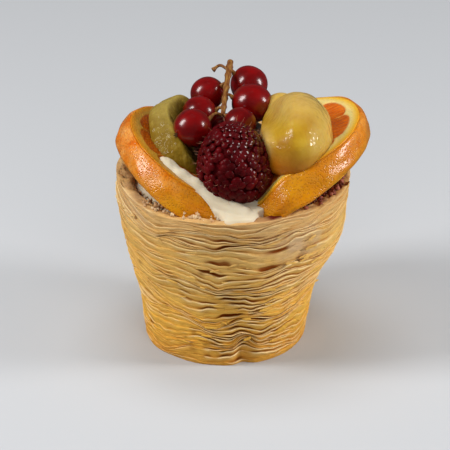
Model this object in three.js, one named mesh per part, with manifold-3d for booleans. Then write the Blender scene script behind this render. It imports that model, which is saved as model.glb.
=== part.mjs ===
// Puff pastry fruit basket: a flaky cup of rolled pastry filled with cream and topped with fruit.
// Millimetres, +Z up, origin at the centre of the flat base. +Y points to the back of the basket.

import * as THREE from 'three';
import { mergeVertices } from 'three/addons/utils/BufferGeometryUtils.js';
import Module from 'manifold-3d';

const wasm = await Module();
wasm.setup();

// Gap kept between neighbouring pieces
const GAP = 0.3;

// Pastry cup: outer radius against height, then the layers on it and the hollow in it
const CUP_HEIGHT = 50;
const CUP_OUTLINE = [
  [0, 22.4], [9, 23.6], [16, 24.9], [22, 26.6], [28, 29.5], [35, 31.3], [42, 32.4], [CUP_HEIGHT, 32.8],
];
const CUP_LEAN = 1.8;
const CUP_BULGE = { shift: 1.2, height: 32, spread: 7 };
const CUP_SIDES = 56;
const LAYER_COUNT = 25;
const LAYER_LIP = { at: 0.35, proud: 0.45 };
const LAYER_GROOVE = { at: 0.9, deep: 0.6 };
const HOLLOW_OUTLINE = [[28.8, 49.4], [27.6, 44], [25.6, 30], [20.5, 15], [16, 9]];

// Waves round the cup: size in millimetres, waves in one turn, phase, and how far the phase climbs by the rim
const LAYER_WAVES = [
  { size: 0.55, turns: 3, phase: 1.1, climb: 0 },
  { size: 0.33, turns: 5, phase: 0, climb: 7 },
  { size: 0.22, turns: 9, phase: 2, climb: 0 },
];
const RIM_WAVES = [{ size: 0.6, turns: 4, phase: 0.6, climb: 0 }];
const RADIUS_WAVES = [
  { size: 0.18, turns: 7, phase: 0, climb: 11 },
  { size: 0.18, turns: 4, phase: 0, climb: -5 },
];
const RIM_SHARPNESS = 6;

// Cream: a mound that fills the hollow, with its own top heights
const CREAM_EDGE = 47.2;
const CREAM_RISE = 11.5;
const CREAM_RINGS = 9;
const CREAM_SIDES = 36;
const CREAM_SWELLS = [
  { x: 0.6, y: 13, spread: 8, height: 3.2 },
  { x: 2.6, y: -22, spread: 6, height: -3.6 },
];
const CREAM_FOLD = [[6, -26.5, 50.5], [0, -26.5, 51.5], [-5.6, -24, 54], [-10, -20, 56.6], [-15, -15, 59.4]];
const CREAM_FOLD_RADIUS = 2.8;
const CREAM_FOLD_SIDES = 8;

// Orange half slices: centre and facing of the upper face, its radius, the lower face's radius,
// the thickness, how far the lower face's front tip reaches over the rim, and the line of the upright cut
const ORANGE_SIDES = 48;
const ORANGE_LEFT = {
  centre: [-6.9, 0, 54.3],
  facing: [0.57, 0, 1],
  radius: 22.9,
  lowerRadius: 22.3,
  thickness: 7.8,
  tipReach: 5,
  cutFrom: [0.4, -30],
  cutTo: [-10, 22],
};
const ORANGE_RIGHT = {
  centre: [14.5, 0, 58.2],
  facing: [-0.44, 0.04, 1],
  radius: 24.8,
  lowerRadius: 24.6,
  thickness: 7.6,
  tipReach: 5.5,
  cutFrom: [17, 24],
  cutTo: [10, -30],
};
const TIP_START = -10;
const PEEL_ROUND = 1.2;

// Kiwi slice, and the waves of its side
const KIWI = { centre: [-11.2, 4, 56.2], facing: [0.82, -0.25, 0.5], radius: 14, thickness: 6, sides: 32 };
const KIWI_WAVES = [{ size: 0.35, turns: 6, phase: 0, climb: 0 }];

// Peach piece: a main dome and a small lobe behind it
const PEACH_LOBES = [
  { centre: [20, -9.4, 65.4], semi: [10.4, 14, 11.2] },
  { centre: [15.6, 9, 62.6], semi: [5.6, 6.5, 6.2] },
];
const PEACH_SIDES = 16;
const PEACH_ROWS = 11;

// Raspberry: broad end down in the cream, tip up
const RASPBERRY = {
  centre: [2.6, -15.6, 60.4],
  semi: [10.4, 10.2, 12],
  lean: 0.17,
  narrowing: 0.16,
  bump: 0.07,
};
const DRUPELETS_ROUND = 24;
const DRUPELET_ROWS = 10;

// Redcurrants: centre and radius
const CURRANTS = [
  { centre: [6.7, 21.4, 66.1], radius: 5.3 },
  { centre: [7.5, 9.7, 65.8], radius: 5.7 },
  { centre: [4.2, -0.8, 64.8], radius: 4.6 },
  { centre: [-4.9, 16.3, 65.7], radius: 4.8 },
  { centre: [-7.1, 6.2, 64.5], radius: 4.9 },
  { centre: [-9.1, -4.6, 65.3], radius: 5.4 },
];
const CURRANT_SIDES = 14;
const CURRANT_ROWS = 9;

// Pockets that fruit presses into its neighbours: few sides, and large enough to clear the fruit
const POCKET_SIDES = 12;
const POCKET_ROWS = 8;
const POCKET_SIZE = 1.05;

// Currant stem: its path over the bunch, a hooked twig, and one short stalk to each currant
const STEM_PATH = [[1.5, 25, 71.4], [0.8, 18, 70], [0, 9, 68], [-0.6, 2.5, 65.8]];
const TWIG_PATH = [[1, 21, 70.7], [-1.4, 22.6, 71.4], [-3.4, 21.6, 70.4]];
const STEM_RADIUS = 0.75;
const STALK_RADIUS = 0.45;
const STEM_SIDES = 6;
const STEM_POINTS = 60;

// Length of one step of a tube along its path
const TUBE_STEP = 3;

// Side of the block that stands for one side of a knife cut
const KNIFE_REACH = 200;

// Materials: colour and roughness of each food
const FINISHES = {
  pastry: { color: 0xd6a662, roughness: 0.75 },
  cream: { color: 0xf4ead2, roughness: 0.45 },
  orange: { color: 0xf09a24, roughness: 0.4 },
  kiwi: { color: 0xa29842, roughness: 0.4 },
  peach: { color: 0xe8b23c, roughness: 0.25 },
  raspberry: { color: 0x7d1426, roughness: 0.35 },
  currant: { color: 0x9c1420, roughness: 0.15 },
  stem: { color: 0x8a6a34, roughness: 0.7 },
};

// A closed solid from a geometry, with shared vertices merged and flat triangles dropped
function solidFrom(geometry) {
  const bare = geometry.clone();
  bare.deleteAttribute('normal');
  bare.deleteAttribute('uv');
  const merged = mergeVertices(bare, 1e-4);
  const corners = merged.index.array;
  const kept = [];
  for (let i = 0; i < corners.length; i += 3) {
    const [a, b, c] = corners.slice(i, i + 3);
    if (a !== b && b !== c && c !== a) kept.push(a, b, c);
  }
  const vertProperties = new Float32Array(merged.attributes.position.array);
  const triVerts = new Uint32Array(kept);
  return new wasm.Manifold(new wasm.Mesh({ numProp: 3, vertProperties, triVerts }));
}

// The geometry of a solid's largest body
function geometryFrom(solid) {
  const bodies = solid.decompose().sort((a, b) => b.volume() - a.volume());
  const mesh = bodies[0].getMesh();
  const geometry = new THREE.BufferGeometry();
  geometry.setAttribute('position', new THREE.BufferAttribute(mesh.vertProperties, 3));
  geometry.setIndex(new THREE.BufferAttribute(mesh.triVerts, 1));
  geometry.computeVertexNormals();
  return geometry;
}

// The sum of some waves at an angle round the axis and a share of the height
function waveSum(waves, angle, rise = 0) {
  return waves.reduce((total, { size, turns, phase, climb }) => (
    total + size * Math.sin(turns * angle + phase + climb * rise)
  ), 0);
}

// Moves a point out from the Z axis
function pushOut(point, distance) {
  const stretch = 1 + distance / Math.hypot(point.x, point.y);
  point.x *= stretch;
  point.y *= stretch;
}

// What is left of a solid after some others are taken out of it
function cutAway(solid, cutters) {
  return cutters.reduce((rest, cutter) => rest.subtract(cutter), solid);
}

// Moves every vertex of a geometry by a function of its place and number
function reshape(geometry, move) {
  const position = geometry.attributes.position;
  const point = new THREE.Vector3();
  for (let i = 0; i < position.count; i += 1) {
    point.fromBufferAttribute(position, i);
    move(point, i);
    position.setXYZ(i, point.x, point.y, point.z);
  }
  geometry.computeVertexNormals();
  return geometry;
}

// A solid of revolution about +Z from [radius, height] pairs that run up the outside
function turned(profile, sides) {
  const points = profile.map(([radius, height]) => new THREE.Vector2(radius, height));
  return new THREE.LatheGeometry(points, sides).rotateX(Math.PI / 2);
}

// A named mesh with the finish of its food
function meshOf(name, geometry, finish) {
  const mesh = new THREE.Mesh(geometry, new THREE.MeshStandardMaterial(FINISHES[finish]));
  mesh.name = name;
  return mesh;
}

// Turns +Z to a facing, with local X level across the front, and moves the origin to a centre
function placement(centre, facing) {
  const z = new THREE.Vector3(...facing).normalize();
  const x = new THREE.Vector3(0, 1, 0).cross(z).normalize();
  const y = new THREE.Vector3().crossVectors(z, x);
  return new THREE.Matrix4().makeBasis(x, y, z).setPosition(...centre);
}

// Pastry cup: thin layers stacked up the side, each a lip over a groove, rising and sinking in waves
function pastryCup() {
  const corners = CUP_OUTLINE.map(([height, radius]) => new THREE.Vector2(height, radius));
  const outline = new THREE.SplineCurve(corners);
  const radiusAt = (height) => outline.getPoint(outlineParameter(outline, height)).y;
  const pitch = CUP_HEIGHT / LAYER_COUNT;
  const profile = [[0, 0], [CUP_OUTLINE[0][1] - LAYER_GROOVE.deep, 0]];
  for (let layer = 0; layer < LAYER_COUNT; layer += 1) {
    const lipHeight = (layer + LAYER_LIP.at) * pitch;
    const grooveHeight = (layer + LAYER_GROOVE.at) * pitch;
    profile.push([radiusAt(lipHeight) + LAYER_LIP.proud, lipHeight]);
    profile.push([radiusAt(grooveHeight) - LAYER_GROOVE.deep, grooveHeight]);
  }
  const outerRows = profile.length;
  profile.push(...HOLLOW_OUTLINE, [0, HOLLOW_OUTLINE.at(-1)[1]]);

  return reshape(turned(profile, CUP_SIDES), (point, index) => {
    const row = index % profile.length;
    const angle = Math.atan2(point.y, point.x);
    const rise = point.z / CUP_HEIGHT;
    if (row > 1 && row < outerRows) {
      pushOut(point, waveSum(RADIUS_WAVES, angle, rise));
      point.z += waveSum(LAYER_WAVES, angle, rise) * Math.sin(Math.PI * rise);
      point.z += waveSum(RIM_WAVES, angle) * rise ** RIM_SHARPNESS;
    }
    point.x += CUP_LEAN * rise;
    if (row < outerRows) {
      point.x += CUP_BULGE.shift * Math.exp(-(((point.z - CUP_BULGE.height) / CUP_BULGE.spread) ** 2));
    }
  });
}

// The parameter at which a rising outline curve reaches a height, by halving
function outlineParameter(curve, height) {
  let low = 0;
  let high = 1;
  for (let step = 0; step < 30; step += 1) {
    const middle = (low + high) / 2;
    if (curve.getPoint(middle).x < height) low = middle;
    else high = middle;
  }
  return low;
}

// Cream: a mound over the hollow's own form, a gap smaller, before the fruit is pressed into it
function creamMound() {
  const [edgeRadius] = HOLLOW_OUTLINE[0];
  const profile = [[0, HOLLOW_OUTLINE.at(-1)[1] + GAP]];
  for (const [radius, height] of HOLLOW_OUTLINE.slice(1).reverse()) {
    profile.push([radius - GAP, height + GAP]);
  }
  const sideRows = profile.length;
  for (let ring = 0; ring <= CREAM_RINGS; ring += 1) {
    const radius = (edgeRadius - 3 * GAP) * (1 - ring / CREAM_RINGS);
    profile.push([radius, CREAM_EDGE + CREAM_RISE * (1 - (radius / edgeRadius) ** 2)]);
  }
  return reshape(turned(profile, CREAM_SIDES), (point, index) => {
    if (index % profile.length > sideRows) {
      for (const { x, y, spread, height } of CREAM_SWELLS) {
        const distance = Math.hypot(point.x - x, point.y - y) / spread;
        point.z += height * Math.exp(-0.5 * distance ** 2);
      }
    }
    point.x += CUP_LEAN * point.z / CUP_HEIGHT;
  });
}

// Orange half slice: a round slice with a rounded peel, halved by an upright knife cut
function orangeSlice(slice, grow = 0) {
  const { radius, lowerRadius, thickness } = slice;
  const profile = [
    [0, -thickness - grow],
    [lowerRadius - PEEL_ROUND + grow, -thickness - grow],
    [lowerRadius + grow, -thickness + PEEL_ROUND],
    [(radius + lowerRadius) / 2 + PEEL_ROUND / 2 + grow, -thickness / 2],
    [radius + grow, -PEEL_ROUND],
    [radius - PEEL_ROUND + grow, grow],
    [0, grow],
  ];
  const disc = reshape(turned(profile, ORANGE_SIDES), (point) => {
    const share = Math.max(0, (TIP_START - point.y) / (radius + TIP_START)) ** 2;
    const depth = THREE.MathUtils.clamp(-point.z / thickness, 0, 1);
    point.y -= share * depth * slice.tipReach;
  });
  disc.applyMatrix4(placement(slice.centre, slice.facing));
  return solidFrom(disc).subtract(knife(slice, grow));
}

// The half space beside an upright cut, as a large block to the right of the line from cutFrom to cutTo
function knife({ cutFrom, cutTo }, grow) {
  const from = new THREE.Vector2(...cutFrom);
  const along = new THREE.Vector2(...cutTo).sub(from).normalize();
  const block = new THREE.BoxGeometry(KNIFE_REACH, KNIFE_REACH, KNIFE_REACH);
  block.translate(0, -KNIFE_REACH / 2 - grow, 0);
  block.rotateZ(along.angle()).translate(from.x, from.y, 0);
  return solidFrom(block);
}

// Kiwi slice: a thick round with a slightly wavy side
function kiwiSlice(grow = 0) {
  const { radius, thickness, sides } = KIWI;
  const disc = new THREE.CylinderGeometry(radius + grow, radius + grow, thickness + 2 * grow, sides);
  disc.rotateX(Math.PI / 2);
  reshape(disc, (point) => {
    const share = Math.hypot(point.x, point.y) / radius;
    if (share > 0) pushOut(point, share * waveSum(KIWI_WAVES, Math.atan2(point.y, point.x)));
  });
  return solidFrom(disc.applyMatrix4(placement(KIWI.centre, KIWI.facing)));
}

// A ball stretched to three semi axes
function ellipsoid(centre, semi, grow, sides, rows) {
  const ball = new THREE.SphereGeometry(1, sides, rows);
  ball.scale(semi[0] + grow, semi[1] + grow, semi[2] + grow).translate(...centre);
  return solidFrom(ball);
}

// Peach piece: the dome and the lobe joined
function peachPiece(grow = 0) {
  const [dome, lobe] = PEACH_LOBES.map(({ centre, semi }) => (
    ellipsoid(centre, semi, grow, PEACH_SIDES, PEACH_ROWS)
  ));
  return dome.add(lobe);
}

// Raspberry: staggered rows of bumps, one for each drupelet, on a ball that narrows to its tip
function raspberry() {
  const { semi, narrowing, bump } = RASPBERRY;
  const ball = new THREE.SphereGeometry(1, 2 * DRUPELETS_ROUND, 2 * DRUPELET_ROWS).rotateX(Math.PI / 2);
  return reshape(ball, (point) => {
    const angle = Math.atan2(point.y, point.x);
    const tilt = Math.acos(THREE.MathUtils.clamp(point.z, -1, 1));
    const inRow = (1 - Math.cos(2 * DRUPELET_ROWS * tilt)) / 2;
    const around = (1 + Math.sin(DRUPELETS_ROUND * angle + DRUPELET_ROWS * tilt)) / 2;
    const width = 1 - narrowing * point.z;
    point.multiplyScalar(1 + bump * inRow * around);
    point.set(point.x * semi[0] * width, point.y * semi[1] * width, point.z * semi[2]);
  });
}

// The raspberry's form without its bumps, large enough to clear them
function raspberryEnvelope(grow) {
  const { centre, semi, narrowing, bump, lean } = RASPBERRY;
  const ball = new THREE.SphereGeometry(1, POCKET_SIDES, POCKET_ROWS).rotateX(Math.PI / 2);
  reshape(ball, (point) => {
    const size = (1 + bump) * POCKET_SIZE;
    const width = 1 - narrowing * point.z;
    point.x *= semi[0] * width * size + grow;
    point.y *= semi[1] * width * size + grow;
    point.z *= semi[2] * size + grow;
  });
  return solidFrom(ball.rotateY(-lean).translate(...centre));
}

// A round tube along a smooth path
function tube(path, radius, sides) {
  const curve = new THREE.CatmullRomCurve3(path.map((point) => new THREE.Vector3(...point)));
  const section = new THREE.Shape();
  for (let side = 0; side < sides; side += 1) {
    const angle = 2 * Math.PI * side / sides;
    const corner = [radius * Math.cos(angle), radius * Math.sin(angle)];
    if (side === 0) section.moveTo(...corner);
    else section.lineTo(...corner);
  }
  section.closePath();
  const steps = Math.ceil(curve.getLength() / TUBE_STEP);
  return solidFrom(new THREE.ExtrudeGeometry(section, { steps, extrudePath: curve, bevelEnabled: false }));
}

// Currant stem: the main stem, the twig, and a stalk from the stem's nearest point to each currant
function currantStem() {
  const curve = new THREE.CatmullRomCurve3(STEM_PATH.map((point) => new THREE.Vector3(...point)));
  const spine = curve.getPoints(STEM_POINTS);
  let stem = tube(STEM_PATH, STEM_RADIUS, STEM_SIDES).add(tube(TWIG_PATH, STALK_RADIUS, STEM_SIDES));
  for (const { centre, radius } of CURRANTS) {
    const middle = new THREE.Vector3(...centre);
    const root = spine.reduce((best, p) => (p.distanceTo(middle) < best.distanceTo(middle) ? p : best));
    const outward = root.clone().sub(middle).normalize();
    const tip = middle.clone().addScaledVector(outward, radius + GAP);
    stem = stem.add(tube([root.toArray(), tip.toArray()], STALK_RADIUS, STEM_SIDES));
  }
  return stem;
}

const orangeLeft = cutAway(orangeSlice(ORANGE_LEFT), [raspberryEnvelope(GAP)]);
const orangeRight = cutAway(orangeSlice(ORANGE_RIGHT), [raspberryEnvelope(GAP)]);
const slicePockets = [orangeSlice(ORANGE_LEFT, GAP), orangeSlice(ORANGE_RIGHT, GAP)];
const currantPockets = CURRANTS.map(({ centre, radius }) => (
  ellipsoid(centre, Array(3).fill(radius * POCKET_SIZE), GAP, POCKET_SIDES, POCKET_ROWS)
));
const berryPockets = [raspberryEnvelope(GAP), ...currantPockets];
const kiwi = cutAway(kiwiSlice(), [...slicePockets, ...berryPockets]);
const peach = cutAway(peachPiece(), [...slicePockets, ...berryPockets]);
const stem = currantStem();
const fruitPockets = [...slicePockets, ...berryPockets, kiwiSlice(GAP), peachPiece(GAP)];
const creamFold = tube(CREAM_FOLD, CREAM_FOLD_RADIUS, CREAM_FOLD_SIDES);
const cream = cutAway(solidFrom(creamMound()).add(creamFold), fruitPockets);
const cup = cutAway(solidFrom(pastryCup()), slicePockets);

const basket = new THREE.Group();
basket.add(meshOf('pastry_cup', geometryFrom(cup), 'pastry'));
basket.add(meshOf('cream', geometryFrom(cream), 'cream'));
basket.add(meshOf('orange_slice_left', geometryFrom(orangeLeft), 'orange'));
basket.add(meshOf('orange_slice_right', geometryFrom(orangeRight), 'orange'));
basket.add(meshOf('kiwi_slice', geometryFrom(kiwi), 'kiwi'));
basket.add(meshOf('peach_piece', geometryFrom(peach), 'peach'));

const raspberryMesh = meshOf('raspberry', raspberry(), 'raspberry');
raspberryMesh.rotation.y = -RASPBERRY.lean;
raspberryMesh.position.set(...RASPBERRY.centre);
basket.add(raspberryMesh);

CURRANTS.forEach(({ centre, radius }, index) => {
  const ball = new THREE.SphereGeometry(radius, CURRANT_SIDES, CURRANT_ROWS);
  const currant = meshOf(`currant_${index + 1}`, ball, 'currant');
  currant.position.set(...centre);
  basket.add(currant);
});
basket.add(meshOf('currant_stem', geometryFrom(stem), 'stem'));

export default basket;
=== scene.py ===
import functools
import math

import bpy
import numpy as np
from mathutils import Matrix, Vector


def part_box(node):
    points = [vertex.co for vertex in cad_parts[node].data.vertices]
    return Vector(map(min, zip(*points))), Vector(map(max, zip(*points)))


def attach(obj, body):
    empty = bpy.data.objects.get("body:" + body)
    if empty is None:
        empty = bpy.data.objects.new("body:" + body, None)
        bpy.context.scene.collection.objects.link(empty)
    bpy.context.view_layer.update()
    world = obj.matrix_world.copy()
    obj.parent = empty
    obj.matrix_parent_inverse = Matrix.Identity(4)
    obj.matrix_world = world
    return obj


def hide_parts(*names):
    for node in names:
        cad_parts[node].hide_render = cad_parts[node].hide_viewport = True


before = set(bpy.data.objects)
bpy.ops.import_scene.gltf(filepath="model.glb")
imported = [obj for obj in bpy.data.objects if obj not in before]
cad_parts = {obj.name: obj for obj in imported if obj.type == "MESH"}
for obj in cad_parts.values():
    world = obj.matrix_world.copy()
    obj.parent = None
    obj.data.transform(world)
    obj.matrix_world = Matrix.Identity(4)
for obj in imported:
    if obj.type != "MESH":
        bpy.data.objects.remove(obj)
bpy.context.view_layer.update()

# Sizes are in millimetres and angles in radians until a mesh is made. -Y is the front of the basket, and a
# turn from the front is positive to the right.
MM = 0.001
TURN = 2 * math.pi
FRONT = -math.pi / 2
UP = np.array((0, 0, 1))

# View of the photograph
VIEW_TARGET = (0, 0, 32.7)
VIEW_ELEVATION = math.radians(27.5)
VIEW_DISTANCE = 1400
VIEW_LENS = 400
VIEW_SENSOR = 36

# Studio: half the floor's width, the pale surround, the place that the lights face, and each light's place,
# width and height, power, and whether wet surfaces show it
FLOOR_REACH = 3000
SURROUND = {"colour": "#eef1f5", "strength": 0.07}
LIT_PLACE = (0, 0, 50)
LIGHTS = {
    "right_light": {"place": (620, -80, 270), "size": (150, 340), "power": 3.2, "glints": True},
    "left_light": {"place": (-520, -120, 460), "size": (180, 360), "power": 3.4, "glints": True},
    "top_light": {"place": (0, 120, 800), "size": (350, 350), "power": 2.3, "glints": False},
    "front_light": {"place": (100, -600, 550), "size": (500, 500), "power": 1.8, "glints": False},
}

# Settings of a node that mixes two colours, and the output that is taken from it
COLOUR_MIX = {"data_type": "RGBA", "out": "Result"}

# Pastry cup: outer radius against height, lean to the right and bulge, as the solid has them, and the last
# ring of the hollow's wall, under the cream
CUP_HEIGHT = 50
CUP_HEIGHTS = [0, 9, 16, 22, 28, 35, 42, CUP_HEIGHT]
CUP_RADII = [22.4, 23.6, 24.9, 26.6, 29.5, 31.3, 32.4, 32.8]
CUP_LEAN = 1.8
CUP_BULGE = {"shift": 1.2, "height": 32, "spread": 7}
HOLLOW_END = {"height": 42, "radius": 26.5}

# Sheets of the pastry: how many show from base to rim, points round each edge, and least thickness
SHEETS = 46
SHEET_COLUMNS = 340
SHEET_PITCH = CUP_HEIGHT / SHEETS
SHEET_LEAST = 0.2

# Depths of the swells of the cup's side, of the crease at its base and of the dent high on the left
CUP_SWELL = 0.45
CREASE_DEPTH = 2.4
DENT_DEPTH = 0.7

# Soft patches of the cup's side: turn from the front and its width, then height and its spread
CREASE_TURN = 0.24
CREASE = (CREASE_TURN, 0.1, 4, 6)
SMOOTH_FLANK = (-0.8, 0.35, 8, 14)
FLOURED_COLLAR = (0.6, 0.36, 40.5, 6)

# Bends of the sheets: how far they rise, and the patch where they do
FRONT_SAG = (-2.2, -0.08, 0.4, 20, 12)
CREASE_PINCH = (2.2, CREASE_TURN, 0.12, 7, 5)
LEFT_SWEEP = (4.5, -1.05, 0.5, 34, 14)
RIGHT_SWEEP = (3.0, 1.15, 0.5, 32, 14)
SHEET_BENDS = (FRONT_SAG, CREASE_PINCH, LEFT_SWEEP, RIGHT_SWEEP)

# Relief of the sheets: turn and width of the lively front, height and spread of the waist, where gaps open
# most, and the heights between which the collar grows smooth
LIVELY_FRONT = (0.1, 0.85)
WAIST = (29, 8)
COLLAR = (43, 49)

# Scorched spots: those that the photograph shows, by turn from the front and height, how many more, and
# the limits of their heights
SCORCHES = [(-0.91, 25), (-0.25, 18.2), (0.05, 21.9), (-0.02, 13.9), (0.3, 4)]
MORE_SCORCHES = 40
SCORCH_HEIGHTS = (4, 40)
SCORCH_SIZE = 0.7

# Rim: how far in and how far down each of its rings lies from the topmost sheet's edge
RIM_STEPS = np.array([0.5, 1.4, 2.6, 3.5, 4.1, 4.5, 5.1])
RIM_DROPS = np.array([-0.05, -0.1, 0.05, 0.35, 1.2, 3.0, 5.5])

# Loose flakes on the side, the share of them on the front, and the limits of their heights and sizes
FLAKES = 60
FLAKES_FRONT = 0.65
FLAKE_HEIGHTS = (6, 46)
FLAKE_LENGTHS = (1.6, 4.5)
FLAKE_WIDTHS = (0.2, 0.55)
FLAKE_LIFTS = (0.05, 0.55)
FLAKE_THICKNESS = 0.08

# Crumbs on the rim, with the limits of their angles, distances out, heights and sizes
CRUMBS = {
    "pale": {
        "seed": 95, "count": 44, "angles": (FRONT - 1.15, FRONT - 0.1), "out": (28.2, 31.8),
        "heights": (49.2, 50.3), "sizes": (0.25, 0.7), "colours": ("#c4986a", "#e4caa0"),
    },
    "brown": {
        "seed": 97, "count": 60, "angles": (FRONT - 1.6, FRONT - 0.3), "out": (27.2, 30.2),
        "heights": (47.6, 49.6), "sizes": (0.25, 0.7), "colours": ("#6a3a1c", "#bc885a"),
    },
    "stained": {
        "seed": 96, "count": 190, "angles": (FRONT + 0.6, 0.15), "out": (27.2, 31.4),
        "heights": (48.3, 50.5), "sizes": (0.3, 0.8), "colours": ("#5a1a12", "#a85a40"),
    },
}

# Orange half slices, placed as the solids are. The lower side of the front tip reaches over the rim. The
# tip's end, which starts and is full at two places across the slice, comes out and drops. The upper edge
# may flare in front, about an angle, and above a height the peel is redder and lighter with a painted sheen.
# The left slice's flesh, pith and wall colours are darker copies of the right's: painted shade. The tip
# starts at a place towards the front.
ORANGES = {
    "left": {
        "centre": (-6.9, 0, 54.3), "facing": (0.57, 0, 1), "radius": 22.9, "thickness": 7.8,
        "arc": (math.radians(99), math.radians(287)), "reach": 5, "end": (-3, 7), "out": 5, "drop": 2.2,
        "flare": 0, "blush": 0.75, "blush_from": 50, "wave_seed": 31,
        "flesh": ("#b65a08", "#903a02"), "pith": ("#d8860e", "#c8841c", "#bc882e"), "wall": "#b4742a",
    },
    "right": {
        "centre": (14.5, 0, 58.2), "facing": (-0.44, 0.04, 1), "radius": 24.8, "thickness": 8.3,
        "arc": (math.radians(-106), math.radians(82)), "reach": 5.5, "end": (4, -6), "out": 0, "drop": 5.2,
        "flare": 1.3, "blush": 0.6, "blush_from": 57, "wave_seed": 32,
        "flesh": ("#e87c1e", "#c6560a"), "pith": ("#eea21c", "#f0be3c", "#f0d684"), "wall": "#e8a24a",
    },
}
TIP_START = -10
FLARE_TURN = -0.5
ORANGE_POINTS = 400

# Peel: how far its edges are rounded, its side swells and waves run over it. Flesh: segments in a full
# round, the pith's depth, and how far segments and juice sacs swell from a face that lies a little lower
PEEL_ROUND = 0.9
PEEL_SWELL = 0.5
PEEL_WAVES = 0.16
ORANGE_SEGMENTS = 9
ORANGE_PITH = 3.2
SEGMENT_SWELL = 0.35
SAC_SWELL = 0.1
FLESH_SUNK = 0.3

# Kiwi slice, with how far its near edge is drawn right, forward and up, and how deep it sinks into the
# orange, and its seeds, with the limits of how far from the middle they lie
KIWI = {
    "centre": (-11.2, 3.8, 55.6), "facing": (0.82, -0.25, 0.5), "radius": 14.3, "thickness": 6.4,
    "round": 1.7, "drawn": (3.6, -2.2, 0.6), "sunk": 0.4,
}
KIWI_SEEDS = {"count": 44, "away": (4.6, 7.8), "semi": (1.0, 0.5, 0.3)}

# Peach piece: its dome, the small lobe behind it, how deep they sink into the orange, and how far the upper
# left is pressed back, away from the camera
PEACH = {"centre": (20, -9.4, 65.4), "semi": (10.4, 15, 11.2)}
PEACH_LOBE = {"centre": (15.6, 9, 62.6), "semi": (5.6, 6.5, 6.2)}
PEACH_SUNK = 0.3
PEACH_PRESSED = 15 * np.array((0, 0.887, -0.46))

# Raspberry, its drupelets and its hairs, and the golden angle as a share of a turn
RASPBERRY = {"centre": (2.6, -15.6, 60.4), "semi": (10.4, 10.2, 12), "lean": 0.17, "narrowing": 0.2}
DRUPELETS = {"count": 320, "semi": (1.4, 1.4, 0.62)}
HAIRS = {"count": 70, "length": 1.5, "width": 0.06, "bend": 0.35}
GOLDEN_SHARE = 0.381966

# Redcurrants, their dried petals, and the stem, with its paths as the solid has them
CURRANT_NODES = [f"currant_{number}" for number in range(1, 7)]
CURRANT_SLIM = 0.985
CURRANT_VEINS = 12
PETALS = {"count": 6, "length": 1.1, "width": 0.3}
STEM_PATH = [(1.5, 25, 71.4), (0.8, 18, 70), (0, 9, 68), (-0.6, 2.5, 65.8)]
STEM_JOINTS = (0.12, 0.3, 0.5, 0.68, 0.84)
STEM_RADIUS = 0.88
STEM_TAPER = 0.25
STALK_RADIUS = 0.42
KNOB_SWELL = 0.35
TWIG_PATH = [(1, 21, 70.7), (-1.4, 22.6, 71.4), (-3.4, 21.6, 70.4)]

# Cream: height of the mound's edge and its rise, how far its skin reaches, its swells as place, spread and
# rise, the fold's path, the apron that runs down to the rim, the edges of the oranges' tips at both sides of
# the apron, and the patch darkened to a juice red under the currants and raspberry, painted shade between
# the fruit
CREAM_EDGE = 47.2
CREAM_RISE = 11.5
CREAM_RADIUS = 28.8
CREAM_REACH = {"round": 28.9, "front": 2.9}
CREAM_SWELLS = [(0.6, 13, 8, 4.8), (2.6, -22, 6, -3.6), (-10, -8, 6, -4)]
CREAM_FOLD = [(5, -26, 50), (0, -24, 51.6), (-6.4, -20, 55), (-12, -17.4, 57.8), (-16.8, -13.9, 60.2)]
CREAM_FOLD_RADII = (3, 1.8)
CREAM_APRON = {"height": 50.2, "radius": 31, "slope": 0.16, "sides_drop": 6}
CREAM_FOOT = {"height": 43, "share": 0.88}
LEFT_TIP_Y = [-30, -26.9, -25.6, -22.9]
LEFT_TIP_X = [-1.4, -2.9, -4.6, -7.2]
RIGHT_TIP = {"x": 11.4, "y": -26, "slope": 0.4}
PAINTED_SHADE_PATCH = {"centre": (0, 3), "semi": (10.5, 17)}


# Arrays and shapes

def ease(low, high, value):
    """A smooth step from 0 at low to 1 at high: three times the square less twice the cube."""
    share = np.clip((value - low) / (high - low), 0, 1)
    return share * share * (3 - 2 * share)


def bell(value, centre, width):
    """A bell curve of height one: e to the minus square of the distance in widths."""
    return np.exp(-(((value - centre) / width) ** 2))


def full_turn(count):
    """Angles spaced evenly round a full turn."""
    return np.linspace(0, TURN, count, endpoint=False)


def turn_from(angle, turn):
    """The signed angle from a turn off the front, between minus and plus half a turn."""
    return (angle - (FRONT + turn) + math.pi) % TURN - math.pi


def around(angle, turn, width):
    """A bell curve round the basket, about a turn from the front."""
    return bell(turn_from(angle, turn), 0, width)


def field_noise(seed, shape, row_waves, column_waves):
    """Smooth random values that close round the columns: white noise with only its slow waves kept,
    scaled to a mean of nought and a deviation of one."""
    rows, columns = shape
    spectrum = np.fft.fft2(np.random.default_rng(seed).normal(size=shape))
    up = np.fft.fftfreq(rows)[:, None] * rows / row_waves
    along = np.fft.fftfreq(columns)[None] * columns / column_waves
    values = np.fft.ifft2(spectrum * np.exp(-(up ** 2) - along ** 2)).real
    return (values - values.mean()) / values.std()


def smooth_curve(knots, values, places):
    """A cubic through values at knots, with each knot's slope taken from its neighbours."""
    knots, values = np.asarray(knots, float), np.asarray(values, float)
    slopes = np.gradient(values, knots, axis=0)
    piece = np.clip(np.searchsorted(knots, places) - 1, 0, len(knots) - 2)
    width = knots[piece + 1] - knots[piece]
    share = (places - knots[piece]) / width
    if values.ndim > 1:
        width, share = width[..., None], share[..., None]
    rise = share ** 2 * (3 - 2 * share)
    start = values[piece] * (1 - rise) + slopes[piece] * width * share * (1 - share) ** 2
    return start + values[piece + 1] * rise - slopes[piece + 1] * width * share ** 2 * (1 - share)


def path_points(path, count):
    """Points along a smooth curve through a short list of places."""
    return smooth_curve(np.arange(len(path)), path, np.linspace(0, len(path) - 1, count))


def unit(vectors):
    """Vectors scaled to a length of one."""
    return vectors / np.linalg.norm(vectors, axis=-1, keepdims=True)


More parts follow.
